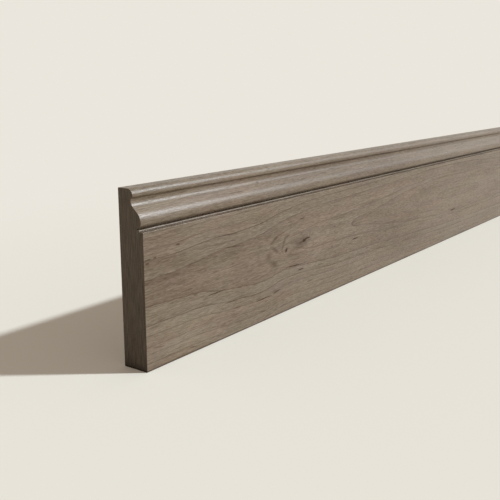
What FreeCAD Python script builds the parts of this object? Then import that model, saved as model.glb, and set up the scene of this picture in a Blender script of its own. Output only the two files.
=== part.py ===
"""Skirting board length: one solid strip of hardwood, moulded along its upper front edge.

The strip stands on its bottom edge, as it is fixed to a wall. X runs along its length, its flat back is
on the +Y side, its moulded front on the -Y side, and Z is up. The origin is at the middle of the strip, at
floor level, halfway through its thickness. All sizes are in millimetres and all angles in degrees.

From the top down, the front has a flat top, a rounded crown, a neck, a cove, a straight slope, a swell that
rolls under, a deep narrow quirk, a small bead, and then the plain plinth face down to the floor.
"""

import FreeCAD
import Part
import os
from math import acos, cos, degrees, radians, sin

# Overall size
BOARD_LENGTH = 2400.0
BOARD_HEIGHT = 119.0
BOARD_THICKNESS = 20.5

# Crown: the rounded nose below the flat top, and the lip that tucks in under it
CROWN_SETBACK = 8.0
CROWN_RADIUS = 4.45
CROWN_LIP_RADIUS = 1.4

# Neck, cove and slope: the hollow under the crown, and the straight run below it
NECK_DEPTH = 1.65
NECK_RADIUS = 1.9
NECK_FLAT = 0.5
COVE_RADIUS = 4.8
SLOPE_ANGLE = 48.0

# Swell: the full round, and the tighter one that rolls under towards the quirk
SWELL_SETBACK = 1.55
SWELL_RADIUS = 8.5
SWELL_ROLL_RADIUS = 3.55
SWELL_ROLL_ANGLE = 76.0

# Quirk: the deep notch under the swell, with a round bottom
QUIRK_SETBACK = 5.2
QUIRK_RADIUS = 0.35

# Bead: the small round below the quirk, which tucks in above the plinth's top edge
BEAD_SETBACK = 3.2
BEAD_RADIUS = 0.8
BEAD_ROLL_RADIUS = 0.35
BEAD_ROLL_ANGLE = 70.0
GROOVE_RADIUS = 0.08

# Arrises: the long edges, eased by a light sanding
PLINTH_ARRIS_RADIUS = 0.45
FOOT_ARRIS_RADIUS = 0.6
BACK_ARRIS_RADIUS = 0.4


class Heading:
    """Directions in the section. Each turn down and round the front lowers them."""

    OUTWARD = 90.0
    DOWN = 0.0
    INWARD = -90.0
    UP = -180.0
    OUTWARD_AT_TOP = -270.0


class SectionPath:
    """The outline, edge by edge. Depth is counted out from the wall face, and height up from the floor."""

    def __init__(self, depth, height, heading):
        self.depth = depth
        self.height = height
        self.heading = heading
        self.edges = []

    def point(self, depth, height):
        """A point of the section, with the wall face on the +Y side."""
        return FreeCAD.Vector(0.0, BOARD_THICKNESS / 2 - depth, height)

    def line_to(self, depth, height):
        """A straight edge to a point, after which the outline keeps the heading that it had."""
        line = Part.LineSegment(self.point(self.depth, self.height), self.point(depth, height))
        self.edges.append(line.toShape())
        self.depth = depth
        self.height = height

    def run_to_depth(self, depth):
        """A straight edge along the heading, as far as a depth from the wall."""
        length = (depth - self.depth) / sin(radians(self.heading))
        self.line_to(depth, self.height - length * cos(radians(self.heading)))

    def turn_to(self, heading, radius):
        """An arc that leaves along the present heading and ends along the new one."""
        side = 1.0 if heading > self.heading else -1.0
        centre_depth = self.depth + side * radius * cos(radians(self.heading))
        centre_height = self.height + side * radius * sin(radians(self.heading))

        def on_arc(at_heading):
            across = side * radius * cos(radians(at_heading))
            along = side * radius * sin(radians(at_heading))
            return centre_depth - across, centre_height - along

        start = self.point(self.depth, self.height)
        middle = self.point(*on_arc((self.heading + heading) / 2))
        end = on_arc(heading)
        self.edges.append(Part.Arc(start, middle, self.point(*end)).toShape())
        self.depth, self.height = end
        self.heading = heading


def draw_crown(path):
    """The quarter round from the flat top to the nose, then the lip, as far as the neck can carry on."""
    path.turn_to(Heading.DOWN, CROWN_RADIUS)
    tuck_angle = degrees(acos(1.0 - NECK_DEPTH / (CROWN_LIP_RADIUS + NECK_RADIUS)))
    path.turn_to(-tuck_angle, CROWN_LIP_RADIUS)


def draw_cove_and_swell(path):
    """The neck with its short upright flat, the cove, the slope and the swell, each tangent to the last."""
    path.turn_to(Heading.DOWN, NECK_RADIUS)
    path.line_to(path.depth, path.height - NECK_FLAT)
    path.turn_to(SLOPE_ANGLE, COVE_RADIUS)
    swell_nose = BOARD_THICKNESS - SWELL_SETBACK
    path.run_to_depth(swell_nose - SWELL_RADIUS * (1.0 - cos(radians(SLOPE_ANGLE))))
    path.turn_to(Heading.DOWN, SWELL_RADIUS)
    path.turn_to(-SWELL_ROLL_ANGLE, SWELL_ROLL_RADIUS)


def draw_quirk_and_bead(path):
    """The quirk under the swell, the bead, the fine groove under the bead, and the plinth's top edge."""
    path.run_to_depth(BOARD_THICKNESS - QUIRK_SETBACK)
    path.turn_to(Heading.OUTWARD, QUIRK_RADIUS)
    path.run_to_depth(BOARD_THICKNESS - BEAD_SETBACK - BEAD_RADIUS)
    path.turn_to(Heading.DOWN, BEAD_RADIUS)
    path.turn_to(-BEAD_ROLL_ANGLE, BEAD_ROLL_RADIUS)
    path.turn_to(Heading.OUTWARD, GROOVE_RADIUS)
    path.run_to_depth(BOARD_THICKNESS - PLINTH_ARRIS_RADIUS)
    path.turn_to(Heading.DOWN, PLINTH_ARRIS_RADIUS)


def draw_plinth_and_back(path, crown_start):
    """The plain face down to the floor, the foot, the flat back, and the flat top out to the crown."""
    path.line_to(BOARD_THICKNESS, FOOT_ARRIS_RADIUS)
    path.turn_to(Heading.INWARD, FOOT_ARRIS_RADIUS)
    path.line_to(BACK_ARRIS_RADIUS, 0.0)
    path.turn_to(Heading.UP, BACK_ARRIS_RADIUS)
    path.line_to(0.0, BOARD_HEIGHT - BACK_ARRIS_RADIUS)
    path.turn_to(Heading.OUTWARD_AT_TOP, BACK_ARRIS_RADIUS)
    path.line_to(crown_start, BOARD_HEIGHT)


def board_section():
    """The closed section as a face, drawn once round from the start of the crown."""
    crown_start = BOARD_THICKNESS - CROWN_SETBACK - CROWN_RADIUS
    path = SectionPath(crown_start, BOARD_HEIGHT, Heading.OUTWARD)
    draw_crown(path)
    draw_cove_and_swell(path)
    draw_quirk_and_bead(path)
    draw_plinth_and_back(path, crown_start)
    return Part.Face(Part.Wire(path.edges))


def skirting_board():
    """The section run out to the board's length and sawn square at both ends."""
    section = board_section()
    section.translate(FreeCAD.Vector(-BOARD_LENGTH / 2, 0.0, 0.0))
    return section.extrude(FreeCAD.Vector(BOARD_LENGTH, 0.0, 0.0))


os.makedirs("parts", exist_ok=True)
skirting_board().exportStep("parts/skirting_board.step")
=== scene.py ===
"""Skirting board length, dressed for its picture: one strip of stained hardwood, standing on its foot.

The board is one piece. Its section is drawn edge by edge, run out along the length, and given a solid wood
grain that runs through it, so that the face, the moulding, the back and the sawn ends all show the same tree.
Sizes here are millimetres until they reach a mesh, which is in metres in the frame's own axes.
"""

import logging
from collections.abc import Sequence
from dataclasses import dataclass, field
from enum import Enum
from math import acos, ceil, cos, degrees, e, inf, pi, radians, sin

import bmesh
import bpy
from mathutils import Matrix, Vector


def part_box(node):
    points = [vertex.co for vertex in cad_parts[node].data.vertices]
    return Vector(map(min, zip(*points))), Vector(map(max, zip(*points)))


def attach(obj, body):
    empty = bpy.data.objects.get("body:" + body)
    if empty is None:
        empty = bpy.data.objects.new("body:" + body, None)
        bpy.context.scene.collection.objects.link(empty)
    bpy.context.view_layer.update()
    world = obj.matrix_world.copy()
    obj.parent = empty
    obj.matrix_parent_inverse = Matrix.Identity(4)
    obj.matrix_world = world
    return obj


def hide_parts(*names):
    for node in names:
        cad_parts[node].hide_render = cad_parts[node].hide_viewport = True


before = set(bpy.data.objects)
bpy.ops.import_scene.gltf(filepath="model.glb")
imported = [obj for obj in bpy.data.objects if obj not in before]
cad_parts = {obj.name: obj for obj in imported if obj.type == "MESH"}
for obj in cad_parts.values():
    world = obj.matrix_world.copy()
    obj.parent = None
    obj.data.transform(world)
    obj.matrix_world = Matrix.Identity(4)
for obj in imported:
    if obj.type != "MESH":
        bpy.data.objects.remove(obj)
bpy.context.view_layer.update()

LOG = logging.getLogger("skirting_board")
MM = 0.001
BOARD_NODE = "skirting_board"

# Curve nodes run from 0 to 1, and these are the millimetres that stand for 1 on them
PITH_REACH = 80.0
RING_REACH = 100.0
WIDEST_RING = 20.0

# How far a knot, a gum streak or a drift reaches into the board, in millimetres
KNOT_DEPTH = 24.0

# The middle of a noise node's range
NOISE_MIDDLE = 0.5

# The vertex layer that holds the way round the section, and the UV map for baking the textures
GIRTH = "girth"
BAKE_MAP = "OFBake"

Tree = bpy.types.NodeTree
Socket = bpy.types.NodeSocket
Colour = tuple[float, float, float, float]
Curve = tuple[tuple[float, float], ...]


def linear(colour: str) -> Colour:
    """Turns a screen colour into the linear light that shaders work in.

    Args:
        colour: six hex digits, red then green then blue.

    Returns:
        The linear red, green and blue, and an alpha of 1.
    """
    channels = [int(colour[i:i + 2], 16) / 255 for i in (0, 2, 4)]
    return (*(c / 12.92 if c <= 0.04045 else ((c + 0.055) / 1.055) ** 2.4 for c in channels), 1.0)


def add_node(
    tree: Tree, kind: str, inputs: dict | None = None, output: int | str = 0,
    points: Sequence[tuple[float, float]] = (), **settings: object,
) -> Socket | bpy.types.Node:
    """Adds one shader node with its settings and links.

    Args:
        tree: the node tree that it joins.
        kind: the node's type, without the leading "ShaderNode".
        inputs: a value, or another node's output, for each input by its name, or by its number on the nodes
            that use a name twice.
        output: the name or number of the output that is wanted.
        points: the points of a curve, from left to right, where the node has one.
        **settings: the node's own settings, such as operation or data_type.

    Returns:
        The wanted output, or the node itself where it has no outputs.
    """
    node = tree.nodes.new("ShaderNode" + kind)
    for name, value in settings.items():
        setattr(node, name, value)
    for key, value in (inputs or {}).items():
        if isinstance(value, Socket):
            tree.links.new(value, node.inputs[key])
        else:
            node.inputs[key].default_value = value
    if points:
        curve = node.mapping.curves[0]
        curve.points[0].location = points[0]
        curve.points[1].location = points[-1]
        for point in points[1:-1]:
            curve.points.new(*point)
        for point in curve.points:
            point.handle_type = "AUTO_CLAMPED"
        node.mapping.update()
    return node.outputs[output] if len(node.outputs) else node


class Heading(float, Enum):
    """Directions in the section, in degrees. Each turn down and round the front lowers them."""

    OUTWARD = 90.0
    DOWN = 0.0
    INWARD = -90.0
    UP = -180.0
    OUTWARD_AT_TOP = -270.0


@dataclass
class SectionOutline:
    """The board's outline as a growing chain of vertices. Depth is counted out from the wall face.

    facet is the longest step of an arc, and fewest_facets is the least that an arc is made of.
    """

    mesh: bmesh.types.BMesh
    thickness: float
    depth: float
    height: float
    heading: float
    facet: float = 0.35
    fewest_facets: int = 6
    tip: bmesh.types.BMVert = field(init=False)

    def __post_init__(self) -> None:
        """Sets the first vertex."""
        self.tip = self.mesh.verts.new(self.place(self.depth, self.height))

    def place(self, depth: float, height: float) -> Vector:
        """A point of the section, in metres, with the wall face on the +Y side."""
        return Vector((0.0, self.thickness / 2 - depth, height)) * MM

    def line_to(self, depth: float, height: float) -> None:
        """Draws a straight edge to a point, after which the outline keeps the heading that it had.

        Args:
            depth: how far the point is out from the wall face.
            height: how far the point is up from the floor.
        """
        grown = bmesh.ops.extrude_vert_indiv(self.mesh, verts=[self.tip])
        self.tip = grown["verts"][0]
        self.tip.co = self.place(depth, height)
        self.depth, self.height = depth, height

    def run_to_depth(self, depth: float) -> None:
        """Draws a straight edge along the heading as far as a depth."""
        length = (depth - self.depth) / sin(radians(self.heading))
        self.line_to(depth, self.height - length * cos(radians(self.heading)))

    def turn_to(self, heading: float, radius: float) -> None:
        """Spins the chain's last vertex round into an arc that ends along a new heading.

        Args:
            heading: the direction at the arc's end, in degrees.
            radius: the arc's radius.
        """
        turn = heading - self.heading
        side = 1.0 if turn > 0 else -1.0
        centre_depth = self.depth + side * radius * cos(radians(self.heading))
        centre_height = self.height + side * radius * sin(radians(self.heading))
        steps = max(self.fewest_facets, ceil(abs(radians(turn)) * radius / self.facet))
        spun = bmesh.ops.spin(
            self.mesh, geom=[self.tip], cent=self.place(centre_depth, centre_height), axis=(1.0, 0.0, 0.0),
            angle=-radians(turn), steps=steps,
        )
        self.tip = next(item for item in spun["geom_last"] if isinstance(item, bmesh.types.BMVert))
        self.depth = centre_depth - side * radius * cos(radians(heading))
        self.height = centre_height - side * radius * sin(radians(heading))
        self.heading = heading


@dataclass(frozen=True)
class PithStation:
    """Where the tree's heart runs at a place along the board: how far behind the face, and how high."""

    along: float
    depth: float
    height: float


@dataclass(frozen=True)
class Ring:
    """One year's growth: its outer edge's distance from the heart, its tone, and how dark its last wood is.

    tone goes from 0, mauve, to 1, olive.
    """

    edge: float
    tone: float
    line: float


@dataclass(frozen=True)
class Knot:
    """A pin knot: its dark core on the face, and how it pushes the grain aside.

    along and up place it from the near end and the floor. length and width are its core's, tilt is the core's
    slope up along the board, in degrees, and dark is how dark it is. reach_along and reach_up are how far it
    bends the grain, and swell is how much. core is the share of it that is fully dark.
    """

    along: float
    up: float
    length: float
    width: float
    tilt: float
    dark: float
    reach_along: float
    reach_up: float
    swell: float
    core: float = 0.2


@dataclass(frozen=True)
class Streak:
    """A short gum streak or fleck on the face, dark where the stain has pooled in it.

    Its fields are a knot's, but it leaves the grain as it is. One with hardly any core is a soft smudge.
    """

    along: float
    up: float
    length: float
    width: float
    tilt: float
    dark: float
    core: float = 0.6


@dataclass(frozen=True)
class Drift:
    """A broad soft patch painted paler or darker. Most follow the wood's own tone; some along the moulding
    add painted shade. lift is the share of lightness that it adds.
    """

    along: float
    up: float
    reach_along: float
    reach_up: float
    lift: float


@dataclass(frozen=True)
class Pattern:
    """Noise in the wood: how far its patches reach along, into and up the board, and how fine it gets."""

    along: float
    deep: float
    up: float
    detail: float = 0.0
    roughness: float = 0.5

    @property
    def scale(self) -> tuple[float, float, float]:
        """What turns millimetres into patches."""
        return 1 / self.along, 1 / self.deep, 1 / self.up

    @property
    def noise(self) -> dict[str, float]:
        """The noise node's own inputs."""
        return {"Scale": 1.0, "Detail": self.detail, "Roughness": self.roughness}


@dataclass(frozen=True)
class Fade:
    """How one measure becomes another: from start to end, the result goes from first to last."""

    start: float
    end: float
    first: float
    last: float

    @property
    def limits(self) -> dict[int, float]:
        """The limits, by the numbers of a map range node's inputs."""
        return {1: self.start, 2: self.end, 3: self.first, 4: self.last}


@dataclass(frozen=True)
class StainedHardwood:
    """Close-grained hardwood, moulded and sanded, under a grey-brown stain and a satin lacquer.

    The stain leaves the colour even and muted, with faint olive and mauve drifts. It darkens the growth
    lines, the knots and the end grain. The lacquer gives the moulding's curves their long soft highlights.
    """

    name: str = "stained_hardwood_satin_lacquer"

    # The stain: mauve to green, yellow to grey, and how each colour channel follows light and dark
    mauve_tone: str = "6D5949"
    green_tone: str = "695B4A"
    yellow_tint: Colour = (1.0, 1.0, 0.89, 1.0)
    grey_tint: Colour = (1.0, 1.0, 1.03, 1.0)
    swing_tint: tuple[float, float, float] = (0.81, 1.0, 1.24)
    stain_patches: Pattern = Pattern(60, 11, 11, 4.0, 0.6)
    stain_by_ring: float = 0.16
    green_share: Fade = Fade(0.38, 0.78, 0.0, 1.0)
    grey_share: Fade = Fade(0.32, 0.68, 0.0, 1.0)
    line_tone: str = "3E260A"
    # The colour of the knots and other dark marks, also used for the painted shadow line along the foot
    mark_and_shadow_tone: str = "331B08"
    end_tone: str = "524337"
    end_green_tone: str = "4F4638"

    # The lacquer, which is duller on the sawn ends. Over a mark, and over the painted shadow line along the
    # foot, it keeps only a share of its shine
    gloss_ior: float = 1.67
    roughness: float = 0.385
    end_roughness: float = 0.62
    fibre_gloss: float = -0.04
    shine: float = 0.5
    end_shine: float = 0.18
    mark_shine: float = 0.1

    # The relief that shows through the lacquer: raised fibres, and sunken growth lines and marks
    fibre_relief: float = 0.9
    line_relief: float = -0.5
    mark_relief: float = -1.5
    relief_height: float = 0.07
    relief_strength: float = 0.5

    # The lie of the grain: flat rings, their waves, and how knots part them
    ring_flatness: float = 0.3
    least_slant: float = 0.1
    long_waves: Pattern = Pattern(90, 20, 24, 1.0)
    long_wave_height: float = 1.0
    short_waves: Pattern = Pattern(22, 6, 14, 1.0)
    short_wave_height: float = 0.4
    knot_spread: float = 0.5

    # Growth lines, faint in places and calmer in the moulding, the wood between them, and thin veins
    line_edge: Fade = Fade(0.35, 1.1, 1.0, 0.0)
    line_patches: Pattern = Pattern(48, 9, 9, 2.0)
    line_strength: Fade = Fade(0.36, 0.6, 0.42, 1.0)
    moulding_calm: Fade = Fade(90.0, 96.0, 1.0, 0.3)
    ring_shade: Curve = ((0.0, 1.0), (0.1, 0.86), (0.4, 0.6), (0.8, 0.32), (1.0, 0.0))
    even_shade: float = 0.5
    veins: Pattern = Pattern(60, 12, 4, 1.0)
    vein_edge: Fade = Fade(0.006, 0.02, 0.35, 0.0)

    # Streaks that run with the grain. Real fibres and pores are too fine to show in the render, so they are
    # drawn as coarse as they need to be to show
    fibre_size: Pattern = Pattern(5.5, 0.7, 0.7, 2.0, 0.6)
    strand_size: Pattern = Pattern(45.0, 1.2, 1.2, 2.0, 0.6)
    band_size: Pattern = Pattern(130.0, 11.0, 11.0, 3.0, 0.6)
    streak_range: Fade = Fade(0.3, 0.7, -1.0, 1.0)
    pore_size: Pattern = Pattern(14.0, 0.85, 0.85)
    pore_dark: Fade = Fade(0.71, 0.84, 0.0, 0.42)

    # How much each of them lightens or darkens the wood, and the painted shade that darkens the flat top
    shade_swing: Fade = Fade(0.0, 1.0, -0.13, 0.11)
    tone_swing: float = 0.08
    band_swing: float = 0.19
    strand_swing: float = 0.19
    fibre_swing: float = 0.39
    painted_top_shade: Fade = Fade(118.5, 118.9, 0.0, -0.25)

    # Dark marks: frayed spots and scattered flecks, and a painted shadow line along the foot, where it meets
    # the floor
    fray_size: Pattern = Pattern(2.5, 1.2, 1.2, 2.0)
    fray: Fade = Fade(0.0, 1.0, -0.5, 0.5)
    spot_rim: float = 1.7
    fleck_cells: Pattern = Pattern(34, 9, 9)
    fleck_edge: Fade = Fade(0.02, 0.09, 0.45, 0.0)
    cells_without_fleck: float = 0.8
    mark_depth: Fade = Fade(0.4 * KNOT_DEPTH, 0.6 * KNOT_DEPTH, 1.0, 0.0)
    painted_foot_shadow: Fade = Fade(0.65, 1.3, 0.8, 0.0)

    # The sawn ends, which soak up more stain, with painted shade that darkens them towards the foot
    end_turn: Fade = Fade(0.6, 0.9, 0.0, 1.0)
    end_waver: Pattern = Pattern(inf, 9, 11, 2.0)
    end_waver_width: float = 2.2
    end_streaks: Pattern = Pattern(inf, 0.8, 12, 3.0, 0.55)
    end_soak: Fade = Fade(0.3, 0.7, 0.52, 1.48)
    end_green_share: Fade = Fade(0.35, 0.65, 0.0, 1.0)
    end_foot_shade_height: float = 120.0
    painted_end_foot_shade: Curve = ((0.0, 0.3), (0.02, 0.48), (0.06, 0.78), (0.2, 0.88), (0.6, 0.98), (1.0, 1.0))

    # The tree and its marks, placed in millimetres from the near end and the floor
    pith: tuple[PithStation, ...] = (
        PithStation(0, 60.05, 52.5), PithStation(27, 59.95, 52.5), PithStation(53, 59.5, 53.2),
        PithStation(80, 58.7, 52.2), PithStation(100, 58.3, 51.6), PithStation(122, 57.7, 51.6),
        PithStation(136, 57.5, 52.8), PithStation(150, 57.4, 55.0), PithStation(170, 57.1, 56.8),
        PithStation(190, 56.4, 57.2), PithStation(215, 55.5, 57.0), PithStation(240, 54.95, 56.6),
        PithStation(273, 54.6, 56.2), PithStation(332, 53.6, 56.2), PithStation(400, 51.8, 56.2),
        PithStation(520, 50.0, 55.0), PithStation(700, 52.0, 51.0), PithStation(960, 57.5, 50.0),
        PithStation(1180, 54.0, 54.0), PithStation(1400, 49.0, 58.0), PithStation(1725, 51.5, 56.0),
        PithStation(1950, 57.0, 60.0), PithStation(2200, 61.0, 63.0), PithStation(2400, 59.0, 60.0),
    )
    rings: tuple[Ring, ...] = (
        Ring(20.0, 0.5, 0.5), Ring(26.0, 0.4, 0.5), Ring(31.5, 0.6, 0.6), Ring(36.0, 0.4, 0.5),
        Ring(40.5, 0.6, 0.4), Ring(44.0, 0.3, 0.7), Ring(47.5, 0.5, 0.5), Ring(50.3, 0.3, 0.35),
        Ring(52.7, 0.35, 0.3), Ring(54.6, 0.0, 0.8), Ring(56.1, 0.6, 0.6), Ring(60.7, 0.1, 1.0),
        Ring(63.8, 0.95, 0.85), Ring(66.6, 0.75, 0.4), Ring(70.1, 0.6, 0.45), Ring(72.9, 0.45, 0.3),
        Ring(76.4, 0.6, 0.45), Ring(79.0, 0.35, 0.3), Ring(82.6, 0.55, 0.5), Ring(85.4, 0.4, 0.4),
        Ring(89.0, 0.6, 0.5), Ring(93.0, 0.4, 0.4), Ring(100.0, 0.5, 0.5),
    )
    knots: tuple[Knot, ...] = (
        Knot(188, 55.0, 10, 3.3, 14, 0.92, 30, 12, 1.2, 0.45),
        Knot(160.8, 51.3, 4.4, 3.2, 40, 0.86, 11, 6, 1.5, 0.4),
        Knot(602, 67.5, 5, 3, 10, 0.4, 24, 8, 1.8),
        Knot(1180, 38, 9, 4.5, 12, 0.85, 36, 12, 4.6),
        Knot(1725, 70, 6, 3, -14, 0.75, 26, 9, 3.5),
        Knot(2110, 47, 4, 2.5, 8, 0.6, 18, 7, 2.0),
    )
    streaks: tuple[Streak, ...] = (
        Streak(3.5, 74.4, 7, 1.0, 0, 0.6), Streak(10, 74.7, 4, 1.2, 8, 0.6),
        Streak(3, 72.0, 4, 1.7, 0, 0.55), Streak(32, 79.4, 4, 1.6, 0, 0.65),
        Streak(48.5, 41.3, 6, 1.9, -10, 0.4), Streak(71.5, 37.0, 22, 1.2, 0, 0.74),
        Streak(98, 35.0, 8, 1.2, -15, 0.4), Streak(95, 14.9, 8, 0.9, 0, 0.4),
        Streak(130, 18.5, 22, 1.1, 1, 0.82), Streak(148, 20.1, 13, 1.2, 7, 0.75),
        Streak(173, 36.1, 28, 1.2, -4, 0.84), Streak(183, 31.0, 10, 1.5, 0, 0.8),
        Streak(197.8, 17.9, 10, 1.1, 0, 0.55), Streak(183, 73.7, 8, 1.3, 3, 0.65),
        Streak(166, 73.4, 6, 1.2, 0, 0.5), Streak(193.2, 55.9, 8, 1.9, 2, 0.85, 0.5),
        Streak(182.4, 53.4, 9, 4.4, 10, 0.62, 0.1), Streak(145, 63.1, 12, 2.6, 27, 0.6, 0.1),
        Streak(154.5, 66.2, 11, 1.8, 6, 0.32, 0.1), Streak(144.6, 54.6, 13, 3.0, -33, 0.42, 0.0),
        Streak(157.2, 58.2, 11, 3.2, 62, 0.45, 0.0), Streak(162, 62.4, 10, 2.4, 22, 0.4, 0.0),
        Streak(173, 45.6, 20, 2.4, -6, 0.32, 0.0), Streak(196, 58.6, 6, 2.4, 70, 0.42, 0.0),
        Streak(214, 29, 10, 1.3, -3, 0.4), Streak(138, 18.4, 9, 0.8, 3, 0.6),
        Streak(126, 78.8, 7, 0.8, 6, 0.5), Streak(184, 54.2, 22, 9, 14, 0.45, 0.0),
        Streak(136.3, 50.5, 8, 6, 20, 0.45, 0.0), Streak(143.7, 42.9, 11, 5, -28, 0.52, 0.0),
        Streak(277, 41.0, 13, 1.5, 2, 0.9), Streak(464, 35.0, 20, 1.0, 3, 0.35),
        Streak(517, 34.4, 18, 1.8, 3, 0.86), Streak(88, 26.2, 13, 0.9, -1, 0.62, 0.3),
        Streak(46, 4.0, 8, 1.0, -8, 0.5, 0.3), Streak(8, 29.1, 9, 1.1, 0, 0.45, 0.3),
        Streak(11.8, 14.3, 12, 1.0, -6, 0.38, 0.3), Streak(127.5, 8.7, 10, 1.0, -7, 0.5, 0.3),
        Streak(95.1, 19.9, 11, 0.9, -6, 0.5, 0.3), Streak(91, 67.1, 28, 0.9, -5, 0.55, 0.3),
        Streak(83.7, 76.8, 25, 0.8, -3, 0.45, 0.3),
    )
    # On the face the patches follow the wood's tone. Along the moulding they darken it from the lip to the
    # cove and under the swell,
    # partly as tone and partly as painted shade in those hollows, and they pale its slope near the end
    drifts: tuple[Drift, ...] = (
        Drift(12, 67, 34, 16, -0.19), Drift(92, 67, 16, 12, -0.17), Drift(42, 17, 36, 15, 0.27),
        Drift(100, 28, 20, 10, -0.2), Drift(190, 22, 18, 9, 0.14), Drift(205, 47, 22, 9, 0.16),
        Drift(290, 85, 30, 9, -0.11), Drift(375, 49, 70, 12, -0.18), Drift(395, 20, 60, 16, -0.26),
        Drift(340, 30, 120, 40, -0.03), Drift(345, 61, 40, 6, -0.1), Drift(545, 17, 60, 12, 0.13),
        Drift(585, 86, 80, 10, -0.19), Drift(40, 105, 75, 6, 0.35), Drift(300, 112.5, 230, 5, -0.42),
        Drift(300, 101, 200, 3.7, -0.34), Drift(235, 105, 90, 5, -0.06), Drift(20, 101, 60, 2.5, -0.2),
    )

    def material(self, near_end: float, front: float, length: float) -> bpy.types.Material:
        """Builds the wood as a solid pattern in the board's own millimetres.

        Args:
            near_end: X of the near end, in millimetres.
            front: Y of the front face, in millimetres.
            length: the board's length, in millimetres.

        Returns:
            The finished material.
        """
        made = bpy.data.materials.new(self.name)
        made.use_nodes = True
        tree = made.node_tree
        tree.nodes.clear()

        place = add_node(tree, "TexCoord", output="Object")
        timber = add_node(
            tree, "VectorMath", {0: place, 1: (1 / MM,) * 3, 2: (-near_end, -front, 0.0)},
            operation="MULTIPLY_ADD",
        )
        grain = self.pushed_aside(tree, timber)
        radius, slant = self.ring_radius(tree, grain, length)
        line, shade, tone = self.growth_rings(tree, grain, radius, slant)
        fibre, strand, band, pore = self.fibres(tree, grain, radius)
        # The dark marks and pores, with the painted shadow line along the foot
        mark_and_shadow = add_node(tree, "Math", {0: self.marks(tree, timber), 1: pore}, operation="MAXIMUM")
        end = self.end_grain(tree)
        wood = self.stain(tree, grain, tone)
        wood = self.shaded(tree, wood, timber, shade, tone, fibre, strand, band)
        wood = self.darkened(tree, wood, line, mark_and_shadow)
        wood = self.sawn(tree, wood, timber, end)

        relief = add_node(tree, "Math", {0: fibre, 1: self.fibre_relief}, operation="MULTIPLY")
        relief = add_node(tree, "Math", {0: line, 1: self.line_relief, 2: relief}, operation="MULTIPLY_ADD")
        relief = add_node(tree, "Math", {0: mark_and_shadow, 1: self.mark_relief, 2: relief}, operation="MULTIPLY_ADD")
        bump = add_node(
            tree, "Bump",
            {"Height": relief, "Strength": self.relief_strength, "Distance": self.relief_height * MM},
        )
        rough = add_node(tree, "MapRange", {0: end, 3: self.roughness, 4: self.end_roughness})
        rough = add_node(tree, "Math", {0: fibre, 1: self.fibre_gloss, 2: rough}, operation="MULTIPLY_ADD")
        shine = add_node(tree, "MapRange", {0: end, 3: self.shine, 4: self.end_shine})
        dulled = add_node(tree, "MapRange", {0: mark_and_shadow, 3: 1.0, 4: self.mark_shine})
        shine = add_node(tree, "Math", {0: shine, 1: dulled}, operation="MULTIPLY")
        surface = add_node(
            tree, "BsdfPrincipled",
            {
                "Base Color": wood, "Roughness": rough, "IOR": self.gloss_ior, "Specular IOR Level": shine,
                "Normal": bump,
            },
        )
        add_node(tree, "OutputMaterial", {"Surface": surface})
        return made

    def pushed_aside(self, tree: Tree, timber: Socket) -> Socket:
        """Bends the grain round each knot, as a lens does, so that its lines part and close again.

        Args:
            tree: the material's node tree.
            timber: the place in the board.

        Returns:
            The place as the grain sees it.
        """
        flattened = (1.0, self.ring_flatness, 1.0)
        grain = add_node(tree, "VectorMath", {0: timber, 1: flattened}, operation="MULTIPLY")
        for knot in self.knots:
            near, falloff = self.around(tree, timber, knot)
            across = add_node(tree, "SeparateXYZ", {0: near}, "Z")
            across = add_node(tree, "Math", {0: across, 1: falloff}, operation="MULTIPLY")
            push = add_node(tree, "CombineXYZ", {"Y": falloff, "Z": across})
            most = (0.0, knot.swell, -self.knot_spread * knot.reach_up)
            grain = add_node(tree, "VectorMath", {0: push, 1: most, 2: grain}, operation="MULTIPLY_ADD")
        return grain

    def around(self, tree: Tree, timber: Socket, spot: Knot | Drift) -> tuple[Socket, Socket]:
        """Measures how near each place is to a spot on the face.

        Args:
            tree: the material's node tree.
            timber: the place in the board.
            spot: the spot, with its reach along and up the board.

        Returns:
            The way from the spot, in reaches, and a bell that falls from 1 at the spot to nothing around it.
        """
        reach = (1 / spot.reach_along, 1 / KNOT_DEPTH, 1 / spot.reach_up)
        centre = (-spot.along / spot.reach_along, 0.0, -spot.up / spot.reach_up)
        near = add_node(tree, "VectorMath", {0: timber, 1: reach, 2: centre}, operation="MULTIPLY_ADD")
        squared = add_node(tree, "VectorMath", {0: near, 1: near}, "Value", operation="DOT_PRODUCT")
        return near, add_node(tree, "Math", {0: 1 / e, 1: squared}, operation="POWER")

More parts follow.
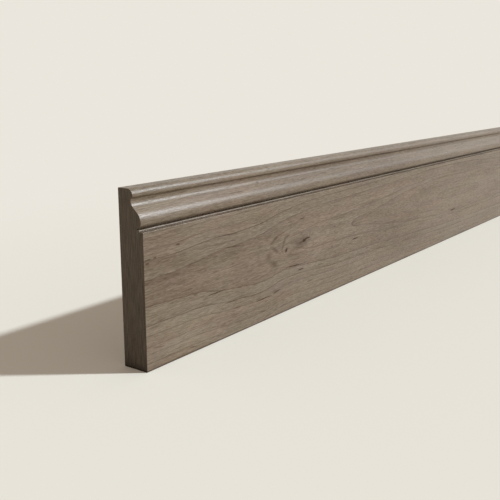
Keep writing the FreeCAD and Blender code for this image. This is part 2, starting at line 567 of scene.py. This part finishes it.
    def ring_radius(self, tree: Tree, grain: Socket, length: float) -> tuple[Socket, Socket]:
        """The distance from the pith, which runs behind the board and drifts nearer and further along it.

        Args:
            tree: the material's node tree.
            grain: the place as the grain sees it.
            length: the board's length, in millimetres.

        Returns:
            The distance, in millimetres, with the small waves of real rings, and how steeply the rings meet
            the face.
        """
        split = add_node(tree, "SeparateXYZ", {0: grain}, "X").node
        share = add_node(tree, "Math", {0: split.outputs["X"], 1: length}, operation="DIVIDE")
        depths = [(spot.along / length, spot.depth / PITH_REACH) for spot in self.pith]
        heights = [(spot.along / length, spot.height / PITH_REACH) for spot in self.pith]
        depth = add_node(tree, "FloatCurve", {"Factor": 1.0, "Value": share}, points=depths)
        height = add_node(tree, "FloatCurve", {"Factor": 1.0, "Value": share}, points=heights)
        inward = add_node(
            tree, "Math", {0: depth, 1: -PITH_REACH, 2: split.outputs["Y"]}, operation="MULTIPLY_ADD",
        )
        upward = add_node(
            tree, "Math", {0: height, 1: -PITH_REACH, 2: split.outputs["Z"]}, operation="MULTIPLY_ADD",
        )
        arm = add_node(tree, "CombineXYZ", {"Y": inward, "Z": upward})
        radius = add_node(tree, "VectorMath", {0: arm}, "Value", operation="LENGTH")
        slant = add_node(tree, "Math", {0: upward, 1: radius}, operation="DIVIDE")
        slant = add_node(tree, "Math", {0: slant}, operation="ABSOLUTE")
        slant = add_node(tree, "Math", {0: slant, 1: self.least_slant}, operation="MAXIMUM")
        for waves, wave_height in (
            (self.long_waves, self.long_wave_height), (self.short_waves, self.short_wave_height),
        ):
            scaled = add_node(tree, "VectorMath", {0: grain, 1: waves.scale}, operation="MULTIPLY")
            wave = add_node(tree, "TexNoise", {"Vector": scaled, **waves.noise})
            wave = add_node(tree, "Math", {0: wave, 1: NOISE_MIDDLE}, operation="SUBTRACT")
            radius = add_node(tree, "Math", {0: wave, 1: wave_height, 2: radius}, operation="MULTIPLY_ADD")
        return radius, slant

    def growth_rings(
        self, tree: Tree, grain: Socket, radius: Socket, slant: Socket,
    ) -> tuple[Socket, Socket, Socket]:
        """The thin dark line at each ring's edge, the slow darkening towards it, and each ring's own tone.

        Args:
            tree: the material's node tree.
            grain: the place as the grain sees it.
            radius: the distance from the pith.
            slant: how steeply the rings meet the face.

        Returns:
            The line's strength, the lightness across the ring and the ring's own tone, all from 0 to 1.
        """
        count = len(self.rings)
        edges = [(0.0, 0.0), *((ring.edge / RING_REACH, n / count) for n, ring in enumerate(self.rings, 1))]
        share = add_node(tree, "Math", {0: radius, 1: RING_REACH}, operation="DIVIDE")
        rings = add_node(tree, "FloatCurve", {"Factor": 1.0, "Value": share}, points=edges)
        rings = add_node(tree, "Math", {0: rings, 1: count}, operation="MULTIPLY")
        growth = add_node(tree, "Math", {0: rings}, operation="FRACT")
        number = add_node(tree, "Math", {0: rings}, operation="FLOOR")
        number = add_node(tree, "Math", {0: number, 1: count}, operation="DIVIDE")

        # How far the place falls short of its ring's outer edge, in millimetres along the face
        widths = [
            (n / count, (edges[n + 1][0] - edges[n][0]) * RING_REACH / WIDEST_RING) for n in range(count)
        ]
        width = add_node(tree, "FloatCurve", {"Factor": 1.0, "Value": number}, points=widths)
        short = add_node(tree, "Math", {0: growth, 1: -WIDEST_RING, 2: WIDEST_RING}, operation="MULTIPLY_ADD")
        short = add_node(tree, "Math", {0: short, 1: width}, operation="MULTIPLY")
        short = add_node(tree, "Math", {0: short, 1: slant}, operation="DIVIDE")

        line = add_node(tree, "MapRange", {0: short, **self.line_edge.limits})
        scaled = add_node(tree, "VectorMath", {0: grain, 1: self.line_patches.scale}, operation="MULTIPLY")
        strength = add_node(tree, "TexNoise", {"Vector": scaled, **self.line_patches.noise})
        strength = add_node(tree, "MapRange", {0: strength, **self.line_strength.limits})
        line = add_node(tree, "Math", {0: line, 1: strength}, operation="MULTIPLY")
        up = add_node(tree, "SeparateXYZ", {0: grain}, "Z")
        calm = add_node(tree, "MapRange", {0: up, **self.moulding_calm.limits})
        line = add_node(tree, "Math", {0: line, 1: calm}, operation="MULTIPLY")
        line = add_node(tree, "Math", {0: line, 1: self.vein_lines(tree, grain)}, operation="MAXIMUM")
        lines = [(n / count, ring.line) for n, ring in enumerate(self.rings)]
        dark = add_node(tree, "FloatCurve", {"Factor": 1.0, "Value": number}, points=lines)
        line = add_node(tree, "Math", {0: line, 1: dark}, operation="MULTIPLY")

        shade = add_node(tree, "FloatCurve", {"Factor": 1.0, "Value": growth}, points=self.ring_shade)
        shade = add_node(tree, "Mix", {0: calm, 2: self.even_shade, 3: shade}, 0, data_type="FLOAT")
        tones = [(n / count, ring.tone) for n, ring in enumerate(self.rings)]
        tone = add_node(tree, "FloatCurve", {"Factor": 1.0, "Value": number}, points=tones)
        return line, shade, tone

    def vein_lines(self, tree: Tree, grain: Socket) -> Socket:
        """Thin faint veins that wander along the grain, where a noise passes through its middle.

        Args:
            tree: the material's node tree.
            grain: the place as the grain sees it.

        Returns:
            The veins' strength.
        """
        scaled = add_node(tree, "VectorMath", {0: grain, 1: self.veins.scale}, operation="MULTIPLY")
        vein = add_node(tree, "TexNoise", {"Vector": scaled, **self.veins.noise})
        vein = add_node(tree, "Math", {0: vein, 1: NOISE_MIDDLE}, operation="SUBTRACT")
        vein = add_node(tree, "Math", {0: vein}, operation="ABSOLUTE")
        return add_node(tree, "MapRange", {0: vein, **self.vein_edge.limits})

    def fibres(self, tree: Tree, grain: Socket, radius: Socket) -> tuple[Socket, Socket, Socket, Socket]:
        """Streaks that run with the grain: short fibres, long strands, broad bands, and scattered dark pores.

        Args:
            tree: the material's node tree.
            grain: the place as the grain sees it.
            radius: the distance from the pith.

        Returns:
            The fibres, the strands and the bands, all from about -1 to 1, and the pores' darkness.
        """
        split = add_node(tree, "SeparateXYZ", {0: grain}, "X").node
        lain = add_node(tree, "CombineXYZ", {"X": split.outputs["X"], "Y": radius, "Z": split.outputs["Z"]})
        noises = []
        for size in (self.fibre_size, self.strand_size, self.band_size, self.pore_size):
            scaled = add_node(tree, "VectorMath", {0: lain, 1: size.scale}, operation="MULTIPLY")
            noises.append(add_node(tree, "TexNoise", {"Vector": scaled, **size.noise}))
        *streaks, pores = noises
        fibre, strand, band = (
            add_node(tree, "MapRange", {0: streak, **self.streak_range.limits}, clamp=False)
            for streak in streaks
        )
        return fibre, strand, band, add_node(tree, "MapRange", {0: pores, **self.pore_dark.limits})

    def marks(self, tree: Tree, timber: Socket) -> Socket:
        """The knots' dark cores, the gum streaks, small flecks all over, and a painted shadow line along the
        foot.

        Args:
            tree: the material's node tree.
            timber: the place in the board.

        Returns:
            The darkness, from 0 to 1.
        """
        ragged = add_node(tree, "VectorMath", {0: timber, 1: self.fray_size.scale}, operation="MULTIPLY")
        ragged = add_node(tree, "TexNoise", {"Vector": ragged, **self.fray_size.noise})
        ragged = add_node(tree, "MapRange", {0: ragged, **self.fray.limits})
        dark = self.flecks(tree, timber)
        for spot in (*self.knots, *self.streaks):
            lean = radians(spot.tilt)
            centre = Vector((spot.along, 0.0, spot.up))
            ahead = Vector((cos(lean), 0.0, sin(lean))) * 2 / spot.length
            aside = Vector((-sin(lean), 0.0, cos(lean))) * 2 / spot.width
            along = add_node(tree, "VectorMath", {0: timber, 1: ahead}, "Value", operation="DOT_PRODUCT")
            across = add_node(tree, "VectorMath", {0: timber, 1: aside}, "Value", operation="DOT_PRODUCT")
            near = add_node(tree, "CombineXYZ", {"X": along, "Z": across})
            middle = (ahead.dot(centre), 0.0, aside.dot(centre))
            away = add_node(tree, "VectorMath", {0: near, 1: middle}, "Value", operation="DISTANCE")
            away = add_node(tree, "Math", {0: away, 1: ragged}, operation="ADD")
            edge = Fade(spot.core, self.spot_rim - spot.core, spot.dark, 0.0)
            core = add_node(tree, "MapRange", {0: away, **edge.limits}, interpolation_type="SMOOTHSTEP")
            dark = add_node(tree, "Math", {0: dark, 1: core}, operation="MAXIMUM")
        split = add_node(tree, "SeparateXYZ", {0: timber}, "Y").node
        inward = add_node(tree, "MapRange", {0: split.outputs["Y"], **self.mark_depth.limits})
        dark = add_node(tree, "Math", {0: dark, 1: inward}, operation="MULTIPLY")
        # Painted shadow: a dark line along the foot, where the board meets the floor
        foot = add_node(tree, "MapRange", {0: split.outputs["Z"], **self.painted_foot_shadow.limits})
        return add_node(tree, "Math", {0: dark, 1: foot}, operation="MAXIMUM")

    def flecks(self, tree: Tree, timber: Socket) -> Socket:
        """Small dark flecks scattered all over, one in the middle of some of the cells of a net.

        Args:
            tree: the material's node tree.
            timber: the place in the board.

        Returns:
            The darkness, from 0 to 1.
        """
        cells = add_node(tree, "VectorMath", {0: timber, 1: self.fleck_cells.scale}, operation="MULTIPLY")
        cell = add_node(tree, "TexVoronoi", {"Vector": cells, "Scale": 1.0}, "Distance").node
        few = add_node(tree, "SeparateXYZ", {0: cell.outputs["Color"]}, "X")
        few = add_node(tree, "Math", {0: few, 1: self.cells_without_fleck}, operation="GREATER_THAN")
        fleck = add_node(
            tree, "MapRange", {0: cell.outputs["Distance"], **self.fleck_edge.limits},
            interpolation_type="SMOOTHSTEP",
        )
        return add_node(tree, "Math", {0: fleck, 1: few}, operation="MULTIPLY")

    def stain(self, tree: Tree, grain: Socket, tone: Socket) -> Socket:
        """The stain's colour, which drifts between mauve and green, and between yellow and grey.

        Args:
            tree: the material's node tree.
            grain: the place as the grain sees it.
            tone: the ring's own tone.

        Returns:
            The colour.
        """
        scaled = add_node(tree, "VectorMath", {0: grain, 1: self.stain_patches.scale}, operation="MULTIPLY")
        drift = add_node(tree, "TexNoise", {"Vector": scaled, **self.stain_patches.noise}).node
        parts = add_node(tree, "SeparateXYZ", {0: drift.outputs["Color"]}, "X").node
        green = add_node(
            tree, "Math", {0: tone, 1: self.stain_by_ring, 2: parts.outputs["X"]}, operation="MULTIPLY_ADD",
        )
        green = add_node(tree, "MapRange", {0: green, **self.green_share.limits})
        grey = add_node(tree, "MapRange", {0: parts.outputs["Y"], **self.grey_share.limits})
        wood = add_node(
            tree, "Mix", {0: green, 6: linear(self.mauve_tone), 7: linear(self.green_tone)}, 2,
            data_type="RGBA",
        )
        tint = add_node(tree, "Mix", {0: grey, 6: self.yellow_tint, 7: self.grey_tint}, 2, data_type="RGBA")
        return add_node(tree, "Mix", {0: 1.0, 6: wood, 7: tint}, 2, data_type="RGBA", blend_type="MULTIPLY")

    def shaded(
        self, tree: Tree, wood: Socket, timber: Socket, shade: Socket, tone: Socket, fibre: Socket,
        strand: Socket, band: Socket,
    ) -> Socket:
        """Lightens and darkens the stain by the rings, the streaks of the grain and the broad drifts, some of
        which are painted shade, and darkens the flat top as painted shade.

        Args:
            tree: the material's node tree.
            wood: the stain's colour.
            timber: the place in the board.
            shade: the lightness across the ring.
            tone: the ring's own tone.
            fibre: the short fibres.
            strand: the long strands.
            band: the broad bands.

        Returns:
            The colour with its grain.
        """
        swing = add_node(tree, "MapRange", {0: shade, **self.shade_swing.limits})
        for streak, weight in (
            (tone, self.tone_swing), (band, self.band_swing), (strand, self.strand_swing),
            (fibre, self.fibre_swing),
        ):
            swing = add_node(tree, "Math", {0: streak, 1: weight, 2: swing}, operation="MULTIPLY_ADD")
        # Painted shade: the flat top is darkened
        up = add_node(tree, "SeparateXYZ", {0: timber}, "Z")
        top = add_node(tree, "MapRange", {0: up, **self.painted_top_shade.limits})
        swing = add_node(tree, "Math", {0: swing, 1: top}, operation="ADD")
        # Broad patches: the wood's tone, and painted shade in the moulding's hollows
        for drift in self.drifts:
            _, falloff = self.around(tree, timber, drift)
            swing = add_node(tree, "Math", {0: falloff, 1: drift.lift, 2: swing}, operation="MULTIPLY_ADD")
        light = add_node(
            tree, "VectorMath", {0: swing, 1: self.swing_tint, 2: (1.0, 1.0, 1.0)}, operation="MULTIPLY_ADD",
        )
        return add_node(tree, "Mix", {0: 1.0, 6: wood, 7: light}, 2, data_type="RGBA", blend_type="MULTIPLY")

    def darkened(self, tree: Tree, wood: Socket, line: Socket, mark_and_shadow: Socket) -> Socket:
        """Draws the growth lines, then the dark marks and the painted shadow line along the foot, over the
        wood.

        Args:
            tree: the material's node tree.
            wood: the colour with its grain.
            line: the growth line's strength.
            mark_and_shadow: the darkness of knots, streaks, flecks and pores, and of the painted shadow line
                along the foot.

        Returns:
            The face's finished colour.
        """
        wood = add_node(tree, "Mix", {0: line, 6: wood, 7: linear(self.line_tone)}, 2, data_type="RGBA")
        return add_node(tree, "Mix", {0: mark_and_shadow, 6: wood, 7: linear(self.mark_and_shadow_tone)}, 2, data_type="RGBA")

    def end_grain(self, tree: Tree) -> Socket:
        """How far the surface cuts across the fibres.

        Args:
            tree: the material's node tree.

        Returns:
            0 on the long faces and 1 on the sawn ends.
        """
        normal = add_node(tree, "TexCoord", output="Normal")
        across = add_node(tree, "SeparateXYZ", {0: normal}, "X")
        across = add_node(tree, "Math", {0: across}, operation="ABSOLUTE")
        turn = {0: across, **self.end_turn.limits}
        return add_node(tree, "MapRange", turn, interpolation_type="SMOOTHSTEP")

    def sawn(self, tree: Tree, wood: Socket, timber: Socket, end: Socket) -> Socket:
        """Darkens the sawn ends, where the stain soaks in deeper, streaks them along the rings they cut, and
        darkens them towards the foot as painted shade.

        Args:
            tree: the material's node tree.
            wood: the face's finished colour.
            timber: the place in the board.
            end: how far the surface cuts across the fibres.

        Returns:
            The colour on every side.
        """
        waver = add_node(tree, "VectorMath", {0: timber, 1: self.end_waver.scale}, operation="MULTIPLY")
        waver = add_node(tree, "TexNoise", {"Vector": waver, **self.end_waver.noise})
        waver = add_node(tree, "CombineXYZ", {"Y": waver})
        lain = add_node(tree, "VectorMath", {0: timber, 1: self.end_streaks.scale}, operation="MULTIPLY")
        lain = add_node(
            tree, "VectorMath", {0: waver, 1: (0.0, self.end_waver_width, 0.0), 2: lain},
            operation="MULTIPLY_ADD",
        )
        streak = add_node(tree, "TexNoise", {"Vector": lain, **self.end_streaks.noise}).node
        soak_and_painted_shade = add_node(tree, "MapRange", {0: streak.outputs[0], **self.end_soak.limits})
        green = add_node(tree, "SeparateXYZ", {0: streak.outputs[1]}, "Y")
        green = add_node(tree, "MapRange", {0: green, **self.end_green_share.limits})
        dyed = add_node(
            tree, "Mix", {0: green, 6: linear(self.end_tone), 7: linear(self.end_green_tone)}, 2,
            data_type="RGBA",
        )
        # Painted shade: the sawn ends darken towards the foot
        up = add_node(tree, "SeparateXYZ", {0: timber}, "Z")
        share = add_node(tree, "Math", {0: up, 1: self.end_foot_shade_height}, operation="DIVIDE")
        foot = add_node(tree, "FloatCurve", {"Factor": 1.0, "Value": share}, points=self.painted_end_foot_shade)
        soak_and_painted_shade = add_node(tree, "Math", {0: soak_and_painted_shade, 1: foot}, operation="MULTIPLY")
        soak_and_painted_shade = add_node(tree, "VectorMath", {0: dyed, "Scale": soak_and_painted_shade}, operation="SCALE")
        return add_node(tree, "Mix", {0: end, 6: wood, 7: soak_and_painted_shade}, 2, data_type="RGBA")


@dataclass
class SkirtingBoard:
    """The whole board, one strip of stock, moulded along its upper front edge and sawn at both ends."""

    finish: StainedHardwood = field(default_factory=StainedHardwood)

    # The moulding, from the crown down to the plinth
    crown_setback: float = 8.0
    crown_radius: float = 4.45
    crown_lip_radius: float = 1.4
    neck_depth: float = 1.65
    neck_radius: float = 1.9
    neck_run: float = 0.5
    cove_radius: float = 4.8
    slope_angle: float = 48.0
    swell_setback: float = 1.55
    swell_radius: float = 8.5
    swell_roll_radius: float = 3.55
    swell_roll_angle: float = 76.0
    quirk_setback: float = 5.2
    quirk_radius: float = 0.35
    bead_setback: float = 3.2
    bead_radius: float = 0.8
    bead_roll_radius: float = 0.35
    bead_roll_angle: float = 70.0
    groove_radius: float = 0.08

    # The eased edges, along the board and round its sawn ends
    plinth_arris_radius: float = 0.45
    foot_arris_radius: float = 0.6
    back_arris_radius: float = 0.4
    end_arris: float = 0.4
    end_arris_facets: int = 3

    # The mesh: steps along the board, doubles that are merged, and the least angle that stays sharp
    station: float = 20.0
    merge_distance: float = 0.001
    sharp_angle: float = 30.0

    # The bake map: the long sides in strips across all of U, and the ends, as shares of it, above them
    strips: int = 2
    strip_share: float = 0.465
    strip_pitch: float = 0.47
    end_map_length: float = 0.48
    end_map_share: float = 0.05
    rim_angle: float = 5.0

    # The overall size, read from the frame
    near_end: float = field(init=False)
    front: float = field(init=False)
    length: float = field(init=False)
    thickness: float = field(init=False)
    height: float = field(init=False)

    def __post_init__(self) -> None:
        """Reads the board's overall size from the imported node."""
        low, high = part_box(BOARD_NODE)
        self.near_end = low[0] / MM
        self.front = low[1] / MM
        self.length = (high[0] - low[0]) / MM
        self.thickness = (high[1] - low[1]) / MM
        self.height = (high[2] - low[2]) / MM

    def draw_front(self, path: SectionOutline) -> None:
        """Draws the moulding from the crown down to the plinth's arris.

        Args:
            path: the outline, at the start of the crown.
        """
        path.turn_to(Heading.DOWN, self.crown_radius)
        tuck = degrees(acos(1.0 - self.neck_depth / (self.crown_lip_radius + self.neck_radius)))
        path.turn_to(-tuck, self.crown_lip_radius)
        path.turn_to(Heading.DOWN, self.neck_radius)
        path.line_to(path.depth, path.height - self.neck_run)
        path.turn_to(self.slope_angle, self.cove_radius)
        nose = self.thickness - self.swell_setback
        path.run_to_depth(nose - self.swell_radius * (1.0 - cos(radians(self.slope_angle))))
        path.turn_to(Heading.DOWN, self.swell_radius)
        path.turn_to(-self.swell_roll_angle, self.swell_roll_radius)
        path.run_to_depth(self.thickness - self.quirk_setback)
        path.turn_to(Heading.OUTWARD, self.quirk_radius)
        path.run_to_depth(self.thickness - self.bead_setback - self.bead_radius)
        path.turn_to(Heading.DOWN, self.bead_radius)
        path.turn_to(-self.bead_roll_angle, self.bead_roll_radius)
        path.turn_to(Heading.OUTWARD, self.groove_radius)
        path.run_to_depth(self.thickness - self.plinth_arris_radius)
        path.turn_to(Heading.DOWN, self.plinth_arris_radius)

    def draw_plain_sides(self, path: SectionOutline, crown_start: float) -> None:
        """Draws the plinth face, the foot, the back and the top.

        Args:
            path: the outline, at the top of the plinth face.
            crown_start: the depth at which the flat top ends.
        """
        path.line_to(self.thickness, self.foot_arris_radius)
        path.turn_to(Heading.INWARD, self.foot_arris_radius)
        path.line_to(self.back_arris_radius, 0.0)
        path.turn_to(Heading.UP, self.back_arris_radius)
        path.line_to(0.0, self.height - self.back_arris_radius)
        path.turn_to(Heading.OUTWARD_AT_TOP, self.back_arris_radius)
        path.line_to(crown_start, self.height)

    def section(self, mesh: bmesh.types.BMesh) -> bmesh.types.BMFace:
        """Draws the closed section at the near end, and notes how far round it each vertex is.

        Args:
            mesh: the empty mesh that it goes into.

        Returns:
            The section's one face.
        """
        crown_start = self.thickness - self.crown_setback - self.crown_radius
        path = SectionOutline(mesh, self.thickness, crown_start, self.height, Heading.OUTWARD)
        self.draw_front(path)
        self.draw_plain_sides(path, crown_start)
        bmesh.ops.remove_doubles(mesh, verts=mesh.verts, dist=self.merge_distance * MM)
        bmesh.ops.translate(mesh, verts=mesh.verts, vec=(self.near_end * MM, 0.0, 0.0))
        filled = bmesh.ops.contextual_create(mesh, geom=mesh.edges)["faces"][0]
        girth = mesh.verts.layers.float.new(GIRTH)
        walked = 0.0
        for loop in filled.loops:
            loop.vert[girth] = walked
            walked += loop.edge.calc_length() / MM
        return filled

    def run_out(self, mesh: bmesh.types.BMesh, section: bmesh.types.BMFace) -> None:
        """Runs the section out along the board, one station after another, and closes the far end.

        Args:
            mesh: the mesh that holds the section.
            section: the near end's face, which stays as the near end.
        """
        stations = round(self.length / self.station)
        step = Vector((self.length / stations * MM, 0.0, 0.0))
        edges = list(section.edges)
        for _ in range(stations):
            grown = bmesh.ops.extrude_edge_only(mesh, edges=edges)["geom"]
            moved = [item for item in grown if isinstance(item, bmesh.types.BMVert)]
            edges = [item for item in grown if isinstance(item, bmesh.types.BMEdge)]
            edges = [edge for edge in edges if all(vert in moved for vert in edge.verts)]
            bmesh.ops.translate(mesh, verts=moved, vec=step)
        bmesh.ops.contextual_create(mesh, geom=edges)

    def lay_out_sides(self, mesh: bmesh.types.BMesh, whole_girth: float) -> None:
        """Lays the long sides flat on the bake map, in strips one above the other, with the grain along U.

        Args:
            mesh: the run-out board, whose vertices know how far round the section they are.
            whole_girth: the way once round the section, in millimetres.
        """
        flat = mesh.loops.layers.uv.new(BAKE_MAP)
        girth = mesh.verts.layers.float[GIRTH]
        strip_length = self.length / self.strips
        for face in mesh.faces:
            middle = face.calc_center_median().x / MM - self.near_end
            strip = min(int(middle / strip_length), self.strips - 1)
            furthest = max(vert[girth] for vert in face.verts)
            for loop in face.loops:
                along = (loop.vert.co.x / MM - self.near_end) / strip_length - strip
                walked = loop.vert[girth]
                if furthest - walked > whole_girth / 2:
                    walked += whole_girth
                loop[flat].uv = along, strip * self.strip_pitch + walked / whole_girth * self.strip_share
        mesh.verts.layers.float.remove(girth)

    def ease_ends(self, mesh: bmesh.types.BMesh) -> None:
        """Takes the sharpness off the sawn ends' edges with a small bevel.

        Args:
            mesh: the run-out board.
        """
        ends = [face for face in mesh.faces if abs(face.normal.x) > cos(radians(self.rim_angle))]
        rims = [edge for face in ends for edge in face.edges]
        bmesh.ops.bevel(
            mesh, geom=rims, offset=self.end_arris * MM, offset_type="OFFSET", segments=self.end_arris_facets,
            profile=0.5, affect="EDGES", material=-1, clamp_overlap=True,
        )

    def lay_out_ends(self, mesh: bmesh.types.BMesh) -> None:
        """Lays the two sawn ends, with their eased rims, side by side above the strips.

        Args:
            mesh: the board with its ends eased.
        """
        flat = mesh.loops.layers.uv[BAKE_MAP]
        for face in mesh.faces:
            if abs(face.normal.x) < sin(radians(self.rim_angle)):
                continue
            start = 0.0 if face.normal.x < 0 else 1.0 - self.end_map_length
            for loop in face.loops:
                up = loop.vert.co.z / MM / self.height
                inward = (loop.vert.co.y / MM - self.front) / self.thickness
                loop[flat].uv = start + up * self.end_map_length, 1.0 - (1.0 - inward) * self.end_map_share

    def build(self) -> bpy.types.Object:
        """Builds and dresses the board.

        Returns:
            The board's object, at the origin, with its place in its mesh.
        """
        mesh = bmesh.new()
        section = self.section(mesh)
        whole_girth = section.calc_perimeter() / MM
        self.run_out(mesh, section)
        bmesh.ops.recalc_face_normals(mesh, faces=mesh.faces)
        self.lay_out_sides(mesh, whole_girth)
        self.ease_ends(mesh)
        self.lay_out_ends(mesh)
        for face in mesh.faces:
            face.smooth = True
        for edge in mesh.edges:
            edge.smooth = edge.calc_face_angle(0.0) < radians(self.sharp_angle)
        data = bpy.data.meshes.new("skirting_board_timber")
        mesh.to_mesh(data)
        mesh.free()
        board = bpy.data.objects.new("skirting_board_timber", data)
        bpy.context.scene.collection.objects.link(board)
        data.materials.append(self.finish.material(self.near_end, self.front, self.length))
        even = board.modifiers.new("even_shading", "WEIGHTED_NORMAL")
        even.keep_sharp = True
        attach(board, "root")
        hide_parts(BOARD_NODE)
        return board


@dataclass(frozen=True)
class PaleSurround:
    """Matt warm-white floor that fades into a paler surround behind the board, so that no horizon shows."""

    floor_tone: str = "E7E3D8"
    surround_tone: str = "EBE6DD"
    radius: float = 9000.0
    edge_facets: int = 96
    fade: Fade = Fade(200.0, 650.0, 0.0, 1.0)

    def floor_material(self, half_length: float) -> bpy.types.Material:
        """A matt floor, whose colour passes into the surround's with distance from the board.

        Args:
            half_length: half of the board's length, in millimetres.

        Returns:
            The floor's material.
        """
        made = bpy.data.materials.new("matt_warm_white_floor")
        made.use_nodes = True
        tree = made.node_tree
        tree.nodes.clear()
        place = add_node(tree, "TexCoord", output="Object")
        place = add_node(tree, "VectorMath", {0: place, 1: (1 / MM,) * 3}, operation="MULTIPLY")
        split = add_node(tree, "SeparateXYZ", {0: place}, "X").node
        past_end = add_node(tree, "Math", {0: split.outputs["X"]}, operation="ABSOLUTE")
        past_end = add_node(tree, "Math", {0: past_end, 1: half_length}, operation="SUBTRACT")
        past_end = add_node(tree, "Math", {0: past_end, 1: 0.0}, operation="MAXIMUM")
        away = add_node(tree, "CombineXYZ", {"X": past_end, "Y": split.outputs["Y"]})
        away = add_node(tree, "VectorMath", {0: away}, "Value", operation="LENGTH")
        faded = add_node(tree, "MapRange", {0: away, **self.fade.limits}, interpolation_type="SMOOTHSTEP")
        faded = add_node(tree, "Math", {0: faded, 1: self.seen(tree)}, operation="MULTIPLY")
        floor = add_node(tree, "BsdfDiffuse", {"Color": linear(self.floor_tone)})
        glow = add_node(tree, "Emission", {"Color": linear(self.surround_tone), "Strength": 1.0})
        surface = add_node(tree, "MixShader", {0: faded, 1: floor, 2: glow})
        add_node(tree, "OutputMaterial", {"Surface": surface})
        return made

    def seen(self, tree: Tree) -> Socket:
        """Tells what the eye sees, straight or by way of a gloss or glass, from plain light.

        Args:
            tree: the node tree of the floor or the world.

        Returns:
            1 for a ray that is seen, and 0 for plain light.
        """
        path = add_node(tree, "LightPath", output="Is Camera Ray").node
        seen = add_node(
            tree, "Math", {0: path.outputs["Is Camera Ray"], 1: path.outputs["Is Glossy Ray"]},
            operation="MAXIMUM",
        )
        return add_node(tree, "Math", {0: seen, 1: path.outputs["Is Transmission Ray"]}, operation="MAXIMUM")

    def lay_floor(self, half_length: float) -> bpy.types.Object:
        """Lays the floor under the board.

        Args:
            half_length: half of the board's length, in millimetres.

        Returns:
            The floor's object.
        """
        mesh = bmesh.new()
        bmesh.ops.create_circle(mesh, cap_ends=True, segments=self.edge_facets, radius=self.radius * MM)
        data = bpy.data.meshes.new("floor")
        mesh.to_mesh(data)
        mesh.free()
        floor = bpy.data.objects.new("floor", data)
        bpy.context.scene.collection.objects.link(floor)
        data.materials.append(self.floor_material(half_length))
        return floor

    def light_surround(self, ambient: tuple[float, float, float]) -> bpy.types.World:
        """Sets the world's two colours, the seen one and the one that lights.

        Args:
            ambient: the linear colour of the light from all round.

        Returns:
            The world.
        """
        world = bpy.data.worlds.new("pale_surround")
        world.use_nodes = True
        bpy.context.scene.world = world
        tree = world.node_tree
        tree.nodes.clear()
        lit = add_node(tree, "Background", {"Color": (*ambient, 1.0), "Strength": 1.0})
        shown = add_node(tree, "Background", {"Color": linear(self.surround_tone), "Strength": 1.0})
        surface = add_node(tree, "MixShader", {0: self.seen(tree), 1: lit, 2: shown})
        add_node(tree, "OutputWorld", {"Surface": surface})
        return world


@dataclass(frozen=True)
class StudioLight:
    """One broad lamp in front of the board's far half, and soft warm light from all round."""

    towards_lamp: tuple[float, float, float] = (0.5007, -0.614, 0.610)
    lamp_spread: float = 3.0
    lamp_irradiance: tuple[float, float, float] = (0.955, 1.04, 1.11)
    ambient: tuple[float, float, float] = (0.423, 0.369, 0.327)

    def build(self) -> bpy.types.Object:
        """Hangs the lamp.

        Returns:
            The lamp's object.
        """
        lamp = bpy.data.lights.new("studio_lamp", "SUN")
        brightest = max(self.lamp_irradiance)
        lamp.energy = pi * brightest
        lamp.color = [channel / brightest for channel in self.lamp_irradiance]
        lamp.angle = radians(self.lamp_spread)
        hung = bpy.data.objects.new("studio_lamp", lamp)
        hung.rotation_euler = Vector(self.towards_lamp).to_track_quat("Z", "Y").to_euler()
        bpy.context.scene.collection.objects.link(hung)
        return hung


@dataclass(frozen=True)
class ProductCamera:
    """The photograph's view: along the board from beside its near end, a little above it.

    from_corner is the way from the foot of the near end's front edge. heading is counted from the board's
    length towards its back, and pitch down from level, both in degrees.
    """

    from_corner: tuple[float, float, float] = (-322.1, -318.7, 185.5)
    heading: float = 36.296
    pitch: float = 13.056
    lens: float = 53.34
    sensor: float = 36.0
    nearest: float = 1.0

    def build(self, corner: Vector) -> bpy.types.Object:
        """Sets up the camera and makes it the scene's.

        Args:
            corner: the foot of the near end's front edge, in millimetres.

        Returns:
            The camera's object.
        """
        camera = bpy.data.cameras.new("product_camera")
        camera.sensor_width = self.sensor
        camera.lens = self.lens
        camera.clip_start = self.nearest * MM
        stand = bpy.data.objects.new("product_camera", camera)
        stand.location = (corner + Vector(self.from_corner)) * MM
        stand.rotation_euler = (radians(90.0 - self.pitch), 0.0, radians(self.heading - 90.0))
        bpy.context.scene.collection.objects.link(stand)
        bpy.context.scene.camera = stand
        return stand


def main() -> None:
    """Builds the camera, the board, its light and its surround, and reports each."""
    logging.basicConfig(level=logging.INFO, format="%(name)s: %(message)s")
    bpy.context.scene.view_settings.view_transform = "Standard"
    board = SkirtingBoard()
    camera = ProductCamera().build(Vector((board.near_end, board.front, 0.0)))
    LOG.info("%s: lens %.1f mm", camera.name, camera.data.lens)
    timber = board.build()
    LOG.info("%s: %d vertices, %d faces", timber.name, len(timber.data.vertices), len(timber.data.polygons))
    light = StudioLight()
    lamp = light.build()
    LOG.info("%s: energy %.2f", lamp.name, lamp.data.energy)
    surround = PaleSurround()
    floor = surround.lay_floor(board.length / 2)
    world = surround.light_surround(light.ambient)
    LOG.info("%s and %s set", floor.name, world.name)


if __name__ == "__main__":
    main()
